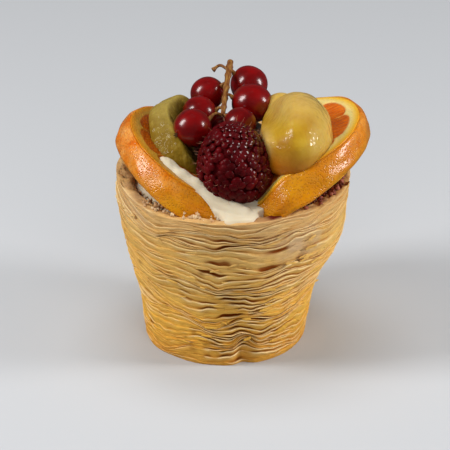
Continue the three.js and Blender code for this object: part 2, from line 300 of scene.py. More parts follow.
def placement(facing):
    """Three rows, x, y and z, of a frame whose z points along a facing and whose x is level from the
    front."""
    z = unit(np.asarray(facing, float))
    x = unit(np.cross((0, 1, 0), z))
    return np.stack([x, np.cross(z, x), z])


def level_spokes(angle):
    """Level directions out at some angles, and the level directions square to them."""
    flat = 0 * angle
    out = np.stack([np.cos(angle), np.sin(angle), flat], -1)
    across = np.stack([-np.sin(angle), np.cos(angle), flat], -1)
    return out, across


def capped(grid):
    """Points or values on rings as one row for each copy, with the middles of the first and last ring."""
    row = grid.reshape(len(grid), -1, *grid.shape[3:])
    return np.concatenate([row, grid[:, [0, -1]].mean(2)], 1)


def shell(rings, **values):
    """A closed skin through rings of points, or one for each of many copies: neighbouring rings are joined
    by quads, and the first and last are closed by a fan to their middle. Values on the ring points go with
    it."""
    rings = rings if rings.ndim == 4 else rings[None]
    copies, count, sides = rings.shape[:3]
    side = np.arange(sides)
    after = (side + 1) % sides
    row = np.arange(count - 1)[:, None] * sides
    quads = np.stack([row + side, row + after, row + sides + after, row + sides + side], -1).reshape(-1, 4)
    last = (count - 1) * sides
    foot, head = np.full(sides, count * sides), np.full(sides, count * sides + 1)
    lower_fan = np.stack([foot, after, side], -1)
    upper_fan = np.stack([head, last + side, last + after], -1)
    points = capped(rings)
    start = np.arange(copies)[:, None, None] * points.shape[1]
    fans = np.concatenate([lower_fan, upper_fan])
    faces = [(start + quads).reshape(-1, 4), (start + fans).reshape(-1, 3)]
    values = {key: capped(grid.reshape(rings.shape[:3])).ravel() for key, grid in values.items()}
    return points.reshape(-1, 3), faces, values


def tube(points, radii, sides):
    """A round section carried along a path: each ring is the path's point plus its radius times the cosine
    and sine of two directions square to the path."""
    along = unit(np.gradient(points, axis=0))
    level = unit(np.cross(along, (0.1, 0.2, 1)))
    upright = np.cross(level, along)
    angle = full_turn(sides)[:, None]
    spokes = level[:, None] * np.cos(angle) + upright[:, None] * np.sin(angle)
    return points[:, None] + np.reshape(radii, (-1, 1, 1)) * spokes


def spikes(paths, level, upright, widths, sides):
    """A section carried along many short paths: each ring is the path's point plus its width times the
    cosine of one direction and the sine of the other, which stay the same along a path."""
    angle = full_turn(sides)[:, None]
    spokes = level[:, None] * np.cos(angle) + upright[:, None] * np.sin(angle)
    return paths[:, :, None] + widths[:, None, None] * spokes[:, None]


def ball(rows, sides):
    """Unit directions on rings from one pole to the other, clear of the poles themselves."""
    tilt = (np.arange(rows) + 0.5)[:, None] * math.pi / rows
    angle = full_turn(sides)
    return np.stack(
        [np.sin(tilt) * np.cos(angle), np.sin(tilt) * np.sin(angle), np.cos(tilt) + 0 * angle], -1)


def many_balls(middles, axes, stretched):
    """Stretched balls, each turned to three axes of its own about its middle."""
    turned = sum(stretched[..., [number]] * axis[:, None, None] for number, axis in enumerate(axes))
    return middles[:, None, None] + turned


def join(shapes):
    """Several shapes as one: their points and values in a row, and their faces numbered on."""
    points, faces, values = zip(*shapes)
    starts = np.cumsum([0] + [len(part) for part in points])
    faces = [corners + start for part, start in zip(faces, starts) for corners in part]
    values = {key: np.concatenate([part[key] for part in values]) for key in values[0]}
    return np.concatenate(points), faces, values


def facing_out(points, faces):
    """The faces with their corners in an order that makes the signed volume positive."""
    volume = 0
    for corners in faces:
        for step in range(1, corners.shape[1] - 1):
            a, b, c = points[corners[:, 0]], points[corners[:, step]], points[corners[:, step + 1]]
            volume += np.einsum("ij,ij->", a, np.cross(b, c))
    return faces if volume > 0 else [corners[:, ::-1] for corners in faces]


def add_piece(name, shape, material, node=None):
    """Makes a smooth mesh piece from a shape in millimetres, with its values on its points, that rides on
    the basket and may stand for a node of the frame."""
    points, faces, values = shape
    faces = facing_out(points, faces)
    sizes = np.concatenate([np.full(len(corners), corners.shape[1]) for corners in faces])
    corners = np.concatenate([face.ravel() for face in faces])
    mesh = bpy.data.meshes.new(name)
    mesh.vertices.add(len(points))
    mesh.vertices.foreach_set("co", (points * MM).astype(np.float32).ravel())
    mesh.loops.add(len(corners))
    mesh.loops.foreach_set("vertex_index", corners.astype(np.int32))
    mesh.polygons.add(len(sizes))
    mesh.polygons.foreach_set("loop_start", (np.cumsum(sizes) - sizes).astype(np.int32))
    mesh.polygons.foreach_set("use_smooth", np.ones(len(sizes), bool))
    for key, value in values.items():
        mesh.attributes.new(key, "FLOAT", "POINT").data.foreach_set("value", value.astype(np.float32))
    mesh.update(calc_edges=True)
    mesh.materials.append(material)
    piece = bpy.data.objects.new(name, mesh)
    bpy.context.scene.collection.objects.link(piece)
    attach(piece, "root")
    if node:
        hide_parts(node)


# Materials

def linear(colour):
    """Linear red, green, blue and alpha of an sRGB hex colour."""
    parts = np.array([int(colour[start:start + 2], 16) for start in (1, 3, 5)]) / 255
    parts = np.where(parts <= 0.04045, parts / 12.92, ((parts + 0.055) / 1.055) ** 2.4)
    return (*parts.tolist(), 1.0)


def per_mm(size):
    """The scale of a texture whose pattern repeats at a size in millimetres."""
    return 1 / (size * MM)


def add_node(tree, kind, inputs=None, ramp=None, out=0, **settings):
    """Adds a node with its settings, colour stops and inputs, which are values, hex colours or other nodes'
    outputs, and gives back one output."""
    made = tree.nodes.new(f"ShaderNode{kind}")
    for key, value in settings.items():
        setattr(made, key, value)
    if ramp:
        stops = made.color_ramp.elements
        while len(stops) < len(ramp):
            stops.new(0.5)
        for stop, (place, colour) in zip(stops, ramp):
            stop.position = place
            stop.color = linear(colour)
    for key, value in (inputs or {}).items():
        if isinstance(value, bpy.types.NodeSocket):
            tree.links.new(value, made.inputs[key])
        else:
            made.inputs[key].default_value = linear(value) if isinstance(value, str) else value
    return made.outputs[out] if made.outputs else None


def make_material(finish, *colours, name=None):
    """A new material, whose finish adds nodes and gives the inputs of the shader."""
    material = bpy.data.materials.new(name or finish.__name__)
    material.use_nodes = True
    material.node_tree.nodes.clear()
    add = functools.partial(add_node, material.node_tree)
    shader = add("BsdfPrincipled", finish(add, *colours))
    add("OutputMaterial", {"Surface": shader})
    return material


def baked_puff_pastry(add):
    """Baked puff pastry, sheets of dough pressed and baked brown in a mould: dry, pale and floury at the
    collar, golden below and lighter there with a painted bounce light, brown in the gaps and darker there
    with painted shade, pale on the sheets' edges as a painted highlight, with scorched spots, and stained by
    juice inside the rim, where the stain is also a painted shadow under the right orange's tip."""
    place = add("TexCoord", out="Object")
    height = add("SeparateXYZ", {"Vector": place}, out="Z")
    level = add("MapRange", {"Value": height, "From Max": CUP_HEIGHT * MM})
    # Golden below and beige at the collar; the lower stops are lightened as a painted bounce light from
    # underneath.
    crust_and_bounce_light = add("ValToRGB", {"Fac": level}, ramp=[
        (0.0, "#dca044"), (0.2, "#f0ba4e"), (0.55, "#edbe64"), (0.8, "#e2b86c"), (1.0, "#d8ae74")])
    grain_place = add("Mapping", {"Vector": place, "Scale": (1, 1, 9)})
    grain = add("TexNoise", {"Vector": grain_place, "Scale": per_mm(5), "Detail": 6.0})
    grain_tone = add("ValToRGB", {"Fac": grain}, ramp=[(0.3, "#b98a4e"), (0.5, "#ffffff"), (0.72, "#fff3dc")])
    grained = add("Mix", {"Factor": 0.5, "A": crust_and_bounce_light, "B": grain_tone}, blend_type="MULTIPLY", **COLOUR_MIX)
    patches = add("TexNoise", {"Vector": place, "Scale": per_mm(14), "Detail": 3.0})
    patch_share = add("MapRange", {"Value": patches, "From Min": 0.42, "From Max": 0.72, "To Max": 0.5})
    colour = add("Mix", {"Factor": patch_share, "A": grained, "B": "#d49e46"}, **COLOUR_MIX)
    # Tints: flour, toast and juice are the pastry's own colours. The pale tint on the sheets' edges is a
    # painted highlight, the brown in the gaps is partly baked colour and partly painted shade, and the juice
    # stain also stands for a painted shadow under the right orange's tip.
    tints = {"flour": "#c2a07a", "lip": "#fde2a8", "gap": "#803400", "toast": "#85451c", "juice": "#5c1c14"}
    for value, tint in tints.items():
        share = add("Attribute", attribute_name=value, out="Fac")
        colour = add("Mix", {"Factor": share, "A": colour, "B": tint}, **COLOUR_MIX)
    fine_place = add("Mapping", {"Vector": place, "Scale": (1, 1, 3)})
    fine = add("TexNoise", {"Vector": fine_place, "Scale": per_mm(2.4), "Detail": 6.0})
    bump = add("Bump", {"Strength": 0.9, "Distance": 0.7 * MM, "Height": fine})
    return {
        "Base Color": colour, "Roughness": 0.6, "IOR": 1.45, "Specular IOR Level": 0.06,
        "Subsurface Weight": 0.06, "Subsurface Radius": (1.0, 0.6, 0.25), "Subsurface Scale": 0.6 * MM,
        "Normal": bump}


def glazed_orange(add, flesh_colours, pith_colours, wall_colour):
    """Orange slice under a thin clear glaze: pored waxy peel, pale pith, and flesh of radial juice sacs
    between thin walls. The values on the points are rind, the depth in from the peel, flesh, which is 1
    inside the pith, wall, ray, the length along an arc, and a last one where the peel is redder and, in its
    lighter tones, lit with a painted sheen."""
    place = add("TexCoord", out="Object")
    values = ("rind", "flesh", "wall", "ray", "blush")
    rind, flesh, wall, ray, blush = (add("Attribute", attribute_name=value, out="Fac") for value in values)
    mottle = add("TexNoise", {"Vector": place, "Scale": per_mm(7), "Detail": 4.0})
    peel = add("ValToRGB", {"Fac": mottle}, ramp=[(0.3, "#bd6e02"), (0.7, "#d08a05")])
    freckles = add("TexNoise", {"Vector": place, "Scale": per_mm(3), "Detail": 5.0})
    # Redder peel, whose lighter stops are a painted sheen high on the peel.
    red = add("ValToRGB", {"Fac": freckles}, ramp=[(0.35, "#d6600c"), (0.5, "#e48430"), (0.7, "#eea45a")])
    blushed_with_sheen = add("Mix", {"Factor": blush, "A": peel, "B": red}, **COLOUR_MIX)
    cells = add("TexVoronoi", {"Vector": place, "Scale": per_mm(0.6)})
    pore = add("MapRange", {"Value": cells, "From Min": 0.5, "From Max": 0.15, "To Max": 0.32})
    pored = add("Mix", {"Factor": pore, "A": blushed_with_sheen, "B": "#a25604"}, **COLOUR_MIX)
    sacs_place = add("CombineXYZ", {"X": ray, "Y": rind})
    sacs_scale = add("Mapping", {"Vector": sacs_place, "Scale": (1.1, 0.35, 1)})
    sacs = add("TexVoronoi", {"Vector": sacs_scale, "Scale": 1.0}, feature="SMOOTH_F1")
    juice = add("ValToRGB", {"Fac": sacs}, ramp=[*zip((0.1, 0.7), flesh_colours)])
    walled = add("Mix", {"Factor": wall, "A": juice, "B": wall_colour}, **COLOUR_MIX)
    pith_depth = add("MapRange", {"Value": rind, "From Max": 4.0})
    pith = add("ValToRGB", {"Fac": pith_depth}, ramp=[*zip((0.2, 0.4, 0.75), pith_colours)])
    inner = add("Mix", {"Factor": flesh, "A": pith, "B": walled}, **COLOUR_MIX)
    cut_share = add("MapRange", {"Value": rind, "From Min": 0.3, "From Max": 0.9})
    whole = add("Mix", {"Factor": cut_share, "A": pored, "B": inner}, **COLOUR_MIX)
    dimples = add("MapRange", {"Value": cells, "From Min": 0.1, "From Max": 0.5})
    bump = add("Bump", {"Strength": 0.9, "Distance": 0.16 * MM, "Height": dimples})
    glaze = add("Bump", {"Strength": 0.9, "Distance": 0.06 * MM, "Height": dimples})
    return {
        "Base Color": whole, "Roughness": 0.45, "IOR": 1.42, "Specular IOR Level": 0.12,
        "Subsurface Weight": 0.15, "Subsurface Radius": (1.0, 0.5, 0.15), "Subsurface Scale": 1.5 * MM,
        "Coat Weight": 0.7, "Coat Roughness": 0.19, "Normal": bump, "Coat Normal": glaze}


def kiwi_flesh(add):
    """Peeled kiwi under drops of glaze: olive green with pale fibres round the side, and dark rays about a
    pale core on the cut faces, which are darkened further as painted shade. The value core runs from 0 at
    the middle of a face to 1 at its edge and on to 2 over the side, and the other value is where the top of
    the side is paler: painted light."""
    place = add("TexCoord", out="Object")
    core, bleached = (add("Attribute", attribute_name=value, out="Fac") for value in ("core", "bleached"))
    share = add("MapRange", {"Value": core, "From Max": 2.0})
    # Pale core and dark rays on the cut faces, olive on the side; the faces' dark tones are partly painted
    # shade.
    green = add("ValToRGB", {"Fac": share}, ramp=[
        (0.0, "#b5aa70"), (0.1, "#a0924c"), (0.16, "#4e4010"), (0.36, "#4e3c0e"), (0.5, "#6e5816"),
        (1.0, "#806316")])
    # Paler at the top of the side: painted light.
    top_lit_green = add("Mix", {"Factor": bleached, "A": green, "B": "#ae9a54"}, **COLOUR_MIX)
    fibre_place = add("Mapping", {"Vector": place, "Rotation": (0.7, 0.5, 0.2), "Scale": (3, 3, 0.6)})
    fibres = add("TexNoise", {"Vector": fibre_place, "Scale": per_mm(4), "Detail": 5.0})
    pale = add("MapRange", {"Value": fibres, "From Min": 0.5, "From Max": 0.72, "To Max": 0.5})
    streaked = add("Mix", {"Factor": pale, "A": top_lit_green, "B": "#aa9446"}, **COLOUR_MIX)
    dark = add("MapRange", {"Value": fibres, "From Min": 0.48, "From Max": 0.25, "To Max": 0.45})
    toned = add("Mix", {"Factor": dark, "A": streaked, "B": "#6b5a1c"}, **COLOUR_MIX)
    grain = add("TexNoise", {"Vector": place, "Scale": per_mm(1.1), "Detail": 4.0})
    bump = add("Bump", {"Strength": 1.0, "Distance": 0.4 * MM, "Height": grain})
    drops = add("TexNoise", {"Vector": place, "Scale": per_mm(1.9), "Detail": 1.0})
    glaze = add("Bump", {"Strength": 1.0, "Distance": 0.9 * MM, "Height": drops})
    return {
        "Base Color": toned, "Roughness": 0.5, "IOR": 1.4, "Specular IOR Level": 0.1,
        "Subsurface Weight": 0.2, "Subsurface Radius": (0.8, 1.0, 0.25), "Subsurface Scale": 1.5 * MM,
        "Coat Weight": 0.12, "Coat Roughness": 0.06, "Normal": bump, "Coat Normal": glaze}


def poached_peach(add):
    """Peach poached in syrup: translucent amber flesh under a pale fibrous veil, with drops of syrup that
    break up the shine. The value veil is where the flesh is whitish, the second value is where it is
    darker low down as painted shade, and wet is where syrup lies."""
    place = add("TexCoord", out="Object")
    veil, ripe, wet = (add("Attribute", attribute_name=value, out="Fac") for value in ("veil", "ripe", "wet"))
    cloud = add("TexNoise", {"Vector": place, "Scale": per_mm(8), "Detail": 4.0})
    amber = add("ValToRGB", {"Fac": cloud}, ramp=[(0.3, "#a8780e"), (0.52, "#be9624"), (0.72, "#cca840")])
    # Darker amber low down: painted shade.
    shaded_amber = add("Mix", {"Factor": ripe, "A": amber, "B": "#a25e08"}, **COLOUR_MIX)
    fibre_place = add("Mapping", {"Vector": place, "Rotation": (0.3, 0.9, 0.5), "Scale": (4, 4, 0.7)})
    fibres = add("TexNoise", {"Vector": fibre_place, "Scale": per_mm(6), "Detail": 4.0})
    fibre_share = add("MapRange", {"Value": fibres, "From Min": 0.35, "From Max": 0.7, "To Min": 0.6})
    share = add("Math", {0: veil, 1: fibre_share}, operation="MULTIPLY")
    pale = add("Mix", {"Factor": share, "A": shaded_amber, "B": "#cdac66"}, **COLOUR_MIX)
    grain = add("TexNoise", {"Vector": place, "Scale": per_mm(0.9), "Detail": 4.0})
    bump = add("Bump", {"Strength": 0.6, "Distance": 0.3 * MM, "Height": grain})
    drops = add("TexNoise", {"Vector": place, "Scale": per_mm(1.9), "Detail": 1.0})
    syrup = add("Bump", {"Strength": 1.0, "Distance": 0.6 * MM, "Height": drops})
    return {
        "Base Color": pale, "Roughness": 0.45, "IOR": 1.4, "Specular IOR Level": 0.3,
        "Subsurface Weight": 0.4, "Subsurface Radius": (1.0, 0.7, 0.2), "Subsurface Scale": 2.5 * MM,
        "Coat Weight": wet, "Coat Roughness": 0.06, "Normal": bump, "Coat Normal": syrup}


def raspberry_drupelets(add):
    """Ripe raspberry under glaze: dark wine red juice in thin skins. The value wet is where they shine."""
    wet = add("Attribute", attribute_name="wet", out="Fac")
    place = add("TexCoord", out="Object")
    cloud = add("TexNoise", {"Vector": place, "Scale": per_mm(4), "Detail": 3.0})
    red = add("ValToRGB", {"Fac": cloud}, ramp=[(0.3, "#3c0306"), (0.7, "#5e070d")])
    grain = add("TexNoise", {"Vector": place, "Scale": per_mm(0.7), "Detail": 3.0})
    bump = add("Bump", {"Strength": 0.3, "Distance": 0.2 * MM, "Height": grain})
    return {
        "Base Color": red, "Roughness": 0.5, "IOR": 1.4, "Specular IOR Level": 0.08,
        "Subsurface Weight": 0.15, "Subsurface Radius": (1.0, 0.15, 0.12), "Subsurface Scale": 1.2 * MM,
        "Coat Weight": wet, "Coat Roughness": 0.1, "Normal": bump, "Coat Normal": bump}


def currant_skin(add):
    """Redcurrant: clear red juice in a tight polished skin, with faint paler veins from end to end.
    The value vein is above nought along a vein."""
    vein = add("Attribute", attribute_name="vein", out="Fac")
    place = add("TexCoord", out="Object")
    cloud = add("TexNoise", {"Vector": place, "Scale": per_mm(5), "Detail": 2.0})
    red = add("ValToRGB", {"Fac": cloud}, ramp=[(0.3, "#580203"), (0.7, "#7c0405")])
    veined = add("Mix", {"Factor": vein, "A": red, "B": "#900c0c"}, **COLOUR_MIX)
    return {
        "Base Color": veined, "Roughness": 0.3, "IOR": 1.42, "Specular IOR Level": 0.2,
        "Subsurface Weight": 0.3, "Subsurface Radius": (1.0, 0.12, 0.08), "Subsurface Scale": 2.5 * MM,
        "Coat Weight": 0.85, "Coat Roughness": 0.19}


def woody_stem(add):
    """Currant stem: a dry fibrous stalk, tan to reddish brown, with lengthwise lines."""
    place = add("TexCoord", out="Object")
    fibre_place = add("Mapping", {"Vector": place, "Scale": (6, 1, 3)})
    fibres = add("TexNoise", {"Vector": fibre_place, "Scale": per_mm(3), "Detail": 4.0})
    brown = add("ValToRGB", {"Fac": fibres}, ramp=[(0.3, "#5a2a12"), (0.5, "#7e4e20"), (0.7, "#9c7434")])
    bump = add("Bump", {"Strength": 0.6, "Distance": 0.15 * MM, "Height": fibres})
    return {"Base Color": brown, "Roughness": 0.6, "IOR": 1.45, "Normal": bump}


def dried_calyx(add):
    """The dried flower end of a currant: papery and dull brown."""
    return {"Base Color": "#5a3a22", "Roughness": 0.8, "IOR": 1.45}


def folded_cream(add):
    """Pastry cream folded with whipped cream: ivory, soft and moist, smoothed by a spoon, and darkened to a
    juice red where the value juice is above nought: painted shade between the fruit."""
    place = add("TexCoord", out="Object")
    cloud = add("TexNoise", {"Vector": place, "Scale": per_mm(8), "Detail": 3.0})
    ivory = add("ValToRGB", {"Fac": cloud}, ramp=[(0.3, "#d2c3a5"), (0.7, "#dcd0b7")])
    # Juice red patch under the fruit: painted shade.
    juice = add("Attribute", attribute_name="juice", out="Fac")
    stained = add("Mix", {"Factor": juice, "A": ivory, "B": "#4c080a"}, **COLOUR_MIX)
    grain = add("TexNoise", {"Vector": place, "Scale": per_mm(1.6), "Detail": 4.0})
    bump = add("Bump", {"Strength": 0.25, "Distance": 0.2 * MM, "Height": grain})
    return {
        "Base Color": stained, "Roughness": 0.42, "IOR": 1.42, "Specular IOR Level": 0.2,
        "Subsurface Weight": 0.3, "Subsurface Radius": (1.0, 0.8, 0.5), "Subsurface Scale": 1.5 * MM,
        "Coat Weight": 0.1, "Coat Roughness": 0.2, "Normal": bump, "Coat Normal": bump}


def dry_bits(add, dark, light):
    """Dry bits, such as crumbs of baked pastry, seeds and hairs: dull, mottled from a dark to a light
    colour."""
    place = add("TexCoord", out="Object")
    cloud = add("TexNoise", {"Vector": place, "Scale": per_mm(2), "Detail": 3.0})
    tone = add("ValToRGB", {"Fac": cloud}, ramp=[(0.35, dark), (0.65, light)])
    return {"Base Color": tone, "Roughness": 0.6, "IOR": 1.45}


def studio_paper(add):
    """Matt paper of the floor, pale grey."""
    return {"Base Color": "#c2c4c7", "Roughness": 0.9}


# Pastry cup

def cup_centre(height):
    """How far the cup's axis stands to the right at a height: a steady lean and a bulge."""
    bulge = CUP_BULGE["shift"] * bell(height, CUP_BULGE["height"], CUP_BULGE["spread"])
    return CUP_LEAN * height / CUP_HEIGHT + bulge


def cup_points(angle, height, radius):
    """Points round the leaning cup from their angle, height and distance from its axis."""
    return np.stack([cup_centre(height) + radius * np.cos(angle), radius * np.sin(angle), height], -1)


def patch(angle, height, turn, width, level, spread):
    """A soft patch of the cup's side: a bell curve round it times one up it."""
    return around(angle, turn, width) * bell(height, level, spread)


def sheet_noise(seed, waves):
    """Noise along the edge of every sheet, with no likeness from one sheet to the next."""
    return field_noise(seed, (SHEETS, SHEET_COLUMNS), 2 * SHEETS, waves)


def stacked(sheets, rim):
    """Heights of the upper edges of sheets piled up by their thicknesses and fitted to the rim."""
    tops = np.cumsum(np.maximum(sheets, SHEET_LEAST), 0)
    return tops / tops[-1] * rim


def sheet_tops(angle):
    """Heights of the upper edge of every sheet. Random thicknesses are stacked, and each edge wanders by a
    wave of its own. Then the lines bunch and spread, sag at the front, sweep up at both sides and pinch up
    at a crease, less and less towards the base and the rim."""
    share = np.random.default_rng(1).lognormal(0, 0.35, (SHEETS, 1))
    wander = 0.25 * sheet_noise(2, 9) + 0.15 * sheet_noise(12, 32)
    sheets = SHEET_PITCH * share / share.mean() + np.diff(wander, axis=0, prepend=0 * angle)
    front = around(angle, 0, 0.6)
    rim = CUP_HEIGHT + 0.45 * field_noise(3, (2, SHEET_COLUMNS), 2, 7)[0] * (1 - front) - 0.3 * front
    tops = stacked(sheets, rim)
    bend = sum(rise * patch(angle, tops, *place) for rise, *place in SHEET_BENDS)
    sway = 0.25 * np.sin(5 * angle + 0.16 * tops) + 1.5 * field_noise(4, tops.shape, 6, 8)
    bent = tops + ease(0, 5, tops) * ease(0, 5, rim - tops) * (bend + sway)
    return stacked(np.diff(bent, axis=0, prepend=0 * angle), rim)


def pastry_relief(angle, height):
    """How strongly the sheets part, from 0.2 where they are pressed smooth to 1: most on the front and in
    patches behind, least at the collar and low on the left."""
    front = around(angle, *LIVELY_FRONT)
    behind = ease(-0.2, 1.0, field_noise(11, height.shape, 3, 4)) * (1 - front)
    strong = np.maximum(front, 0.85 * behind)
    collar = 1 - 0.55 * ease(*COLLAR, height)
    flank = 1 - 0.8 * patch(angle, height, *SMOOTH_FLANK)
    return 0.2 + 0.8 * strong * collar * flank


def sheet_parting(angle):
    """How far the upper edge of every sheet stands out, and how far the gap below the sheet is open, from 0
    to 1: smooth steps of patchy noise, stronger at the waist, times the relief. The lowest has no gap."""
    height = (np.arange(SHEETS)[:, None] + 0.5) * SHEET_PITCH + 0 * angle
    relief = pastry_relief(angle + 0 * height, height)
    waist = bell(height, *WAIST)
    patchy = 0.75 * sheet_noise(5, 11) + 0.65 * sheet_noise(13, 30) + 0.35 * waist
    gaping = 0.75 * sheet_noise(6, 8) + 0.65 * sheet_noise(14, 24) + 0.6 * waist
    opening = ease(0.8, 2.2, gaping) * relief
    opening[0] = 0
    return ease(-0.9, 1.2, patchy) * relief, opening


def sheet_rings(angle):
    """Rings of every sheet as heights, how far out they are from the cup's own radius, painted shade in a gap
    and a painted highlight on the sheet's edge. There are six: the foot of the gap behind the edge below, the
    gap's wall, two up the face, and the outside and the top of the sheet's own edge."""
    high = sheet_tops(angle)
    low = np.concatenate([0 * high[:1], high[:-1]])
    body = high - low
    stand, opening = sheet_parting(angle)
    stand_below = np.concatenate([0 * stand[:1], stand[:-1]])
    proud = (0.2 * sheet_noise(7, 15) - 0.4) * (0.3 + 0.7 * stand)
    edge = 0.1 + 0.5 * stand
    deep = (0.08 + 0.65 * stand_below + 0.65 * opening) * (1 - 0.5 * ease(42, 47, low))
    # Painted shade in each gap, by its depth, and a painted highlight on each sheet's edge, by how far it
    # stands out.
    dark = ease(0.06, 0.8, deep)
    pale = np.clip(1.1 * stand, 0, 0.9)
    none = 0 * stand
    rings = [
        (low - 0.25 * deep, -deep, dark, none),
        (low + (0.08 + 0.3 * opening) * body, -0.85 * deep, 0.85 * dark, none),
        (low + (0.32 + 0.25 * opening) * body, 0.15 * edge - 0.25 * deep, 0.25 * dark, none),
        (low + 0.8 * body, 0.7 * edge, none, 0.25 * pale),
        (high - 0.07 * body, edge, none, pale),
        (high, edge - 0.1, none, pale)]
    heights, out, gap, lip = (np.stack(column, 1).reshape(-1, SHEET_COLUMNS) for column in zip(*rings))
    return np.maximum(heights, 0), out + np.repeat(proud, len(rings), 0), gap, lip


def pastry_cup():
    """The cup's skin, from the sheets up to the rim and down the hollow's wall, with the angle of each point
    and its values. A ring's radius is the cup's own, plus how far out the ring is, with soft swells, less a
    crease at the base and a dent high on the left."""
    angle = full_turn(SHEET_COLUMNS)[None]
    heights, out, gap, lip = sheet_rings(angle)
    crease = CREASE_DEPTH * patch(angle, heights, *CREASE)
    swell = CUP_SWELL * field_noise(9, heights.shape, 3, 6) * np.sin(math.pi * heights / CUP_HEIGHT)
    dent = DENT_DEPTH * around(angle, -1.5, 0.6) * ease(30, 42, heights)
    radius = smooth_curve(CUP_HEIGHTS, CUP_RADII, np.clip(heights, 0, CUP_HEIGHT))
    radius = radius + out - crease + swell - dent

    rough = field_noise(10, (len(RIM_STEPS), SHEET_COLUMNS), 12, 40)
    rim_heights = heights[-1] - RIM_DROPS[:, None] + 0.3 * rough
    rim_radius = radius[-1] - RIM_STEPS[:, None] + 0.35 * rough[::-1]
    heights = np.concatenate([heights, rim_heights, HOLLOW_END["height"] + 0 * angle])
    radius = np.concatenate([radius, rim_radius, HOLLOW_END["radius"] + 0 * angle])
    inner = np.linspace(0, 1, len(RIM_STEPS) + 1)[:, None] + 0 * angle
    toast = 0.1 + 0.85 * ease(0.2, 0.8, inner)
    values = {
        "gap": np.concatenate([gap, 0 * inner]), "lip": np.concatenate([lip, 0 * inner]),
        "toast": np.concatenate([0 * gap, toast]), "inside": np.concatenate([0 * gap, inner])}
    angle = angle + 0 * heights
    return cup_points(angle, heights, radius), angle, values


def scorched_spots(points):
    """Spots where sheets caught: the sum of small bells about places on the cup, wider than tall. The
    first are those that the photograph shows, and the rest are random."""
    rng = np.random.default_rng(21)
    shown = np.array(SCORCHES)
    angles = np.concatenate([FRONT + shown[:, 0], rng.uniform(-math.pi, math.pi, MORE_SCORCHES)])
    heights = np.concatenate([shown[:, 1], rng.uniform(*SCORCH_HEIGHTS, MORE_SCORCHES)])
    spots = np.zeros(points.shape[:2])
    for angle, height in zip(angles, heights):
        centre = cup_points(angle, height, np.interp(height, CUP_HEIGHTS, CUP_RADII))
        away = (points - centre) / (SCORCH_SIZE * rng.uniform(0.6, 1.8))
        spots += np.exp(-(away[..., 0] ** 2 + away[..., 1] ** 2 + 3 * away[..., 2] ** 2))
    return np.clip(spots, 0, 1)


def add_pastry(material):
    """Adds the cup with its toasted, floured and stained places; where the stain reaches towards the front,
    under the right orange's tip, it is also a painted shadow.
    """
    points, angle, values = pastry_cup()
    height = points[..., 2]
    inside = values.pop("inside")
    values["toast"] = np.clip(values["toast"] + 0.7 * scorched_spots(points), 0, 1)
    left_collar = 0.5 * ease(36, 47, height) * around(angle, -1.1, 0.5)
    rim = 0.25 * ease(0, 0.1, inside)
    dust = np.maximum.reduce([patch(angle, height, *FLOURED_COLLAR), left_collar, rim])
    values["flour"] = np.clip(dust * (0.6 + 0.35 * field_noise(22, height.shape, 30, 30)), 0, 0.85)
    # Juice stain inside the right of the rim; towards the front, under the right orange's tip, it is also a
    # painted shadow.
    right = turn_from(angle, 0.9)
    stain = ease(0, 0.16, inside) * ease(-0.82, -0.5, right) * ease(1.1, 0.6, right)
    values["juice"] = np.clip(stain * (0.8 + 0.4 * field_noise(23, height.shape, 20, 40)), 0, 1)
    add_piece("pastry_sheets", shell(points, **values), material, "pastry_cup")


def add_flakes(material):
    """Adds loose flakes: thin flat strips that follow the cup's side, with one end lifted. Each is a flat
    oval section carried along a level path round the cup."""
    rng = np.random.default_rng(91)
    front = rng.uniform(size=FLAKES) < FLAKES_FRONT
    turn = np.where(
        front, FRONT + 0.15 + rng.normal(0, 0.5, FLAKES), rng.uniform(-math.pi, math.pi, FLAKES))
    height = rng.uniform(*FLAKE_HEIGHTS, FLAKES)
    length = rng.uniform(*FLAKE_LENGTHS, FLAKES)
    share = np.linspace(0, 1, 9)
    base = smooth_curve(CUP_HEIGHTS, CUP_RADII, height)
    angle = turn[:, None] + (length / base)[:, None] * share * rng.choice([-1, 1], FLAKES)[:, None]
    lift = rng.uniform(*FLAKE_LIFTS, FLAKES)[:, None] * share ** 2
    level = height[:, None] + rng.normal(0, 0.4, FLAKES)[:, None] * share
    taper = 0.35 + 0.65 * np.sin(math.pi * (0.15 + 0.8 * share))
    width = rng.uniform(*FLAKE_WIDTHS, FLAKES)[:, None] * taper
    section = full_turn(6)
    radius = (base[:, None] + lift)[..., None] + FLAKE_THICKNESS * np.cos(section)
    tall = level[..., None] + width[..., None] * np.sin(section)
    points = cup_points(angle[..., None] + 0 * tall, tall, radius)
    add_piece("pastry_flakes", shell(points), material)


def scattered_crumbs(band):
    """Small rough grains at random places in a band round the rim: balls with each ring point moved."""
    rng = np.random.default_rng(band["seed"])
    count = band["count"]
    angle, away, height = (rng.uniform(*band[key], count) for key in ("angles", "out", "heights"))
    rough = 1 + 0.25 * rng.normal(size=(count, 4, 7, 1))
    size = rng.uniform(*band["sizes"], count)[:, None, None, None]
    grains = ball(4, 7)[None] * rough * size * rng.uniform(0.6, 1.3, (count, 1, 1, 3))
    return shell(cup_points(angle, height, away)[:, None, None] + grains)


def add_crumbs():
    """Adds pale and baked brown crumbs on the left of the rim and juice stained ones inside the right of it.
    """
    for look, band in CRUMBS.items():
        material = make_material(dry_bits, *band["colours"], name=f"{look}_crumb")
        add_piece(f"crumbs_{look}", scattered_crumbs(band), material)


# Oranges

